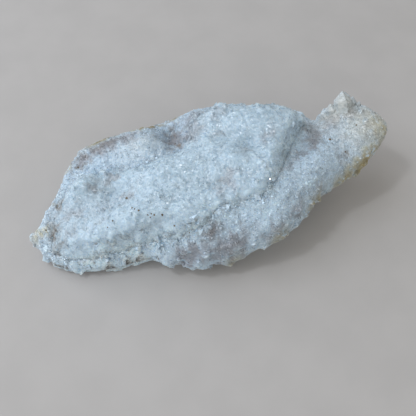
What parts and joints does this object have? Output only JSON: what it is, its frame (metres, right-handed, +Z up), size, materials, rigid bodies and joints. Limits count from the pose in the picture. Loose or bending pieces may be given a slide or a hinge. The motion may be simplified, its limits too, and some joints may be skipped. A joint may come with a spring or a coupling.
{
  "type": "calcite on quartz mineral specimen",
  "caption": "Hand-sized mineral specimen: a slanted, leaf-shaped plate of sugary quartz with a lumpy crust of milky calcite crystals, lying with its crystals up.",
  "frame": {"origin": "under the middle of the specimen's box, on the flat that it rests on", "axes": "+X along the specimen's length towards its high tip, +Y towards its back, +Z up out of the crystals"},
  "size_m": [0.1274, 0.057, 0.0347],
  "materials": {
    "quartz": "sugary, sparkling grey druse above; dull ochre-stained break at the rim and underneath",
    "calcite": "milky bluish white, glassy on its crystal faces"
  },
  "bodies": {
    "root": {"quartz_plate": "quartz", "calcite_crust": "calcite"}
  },
  "joints": []
}
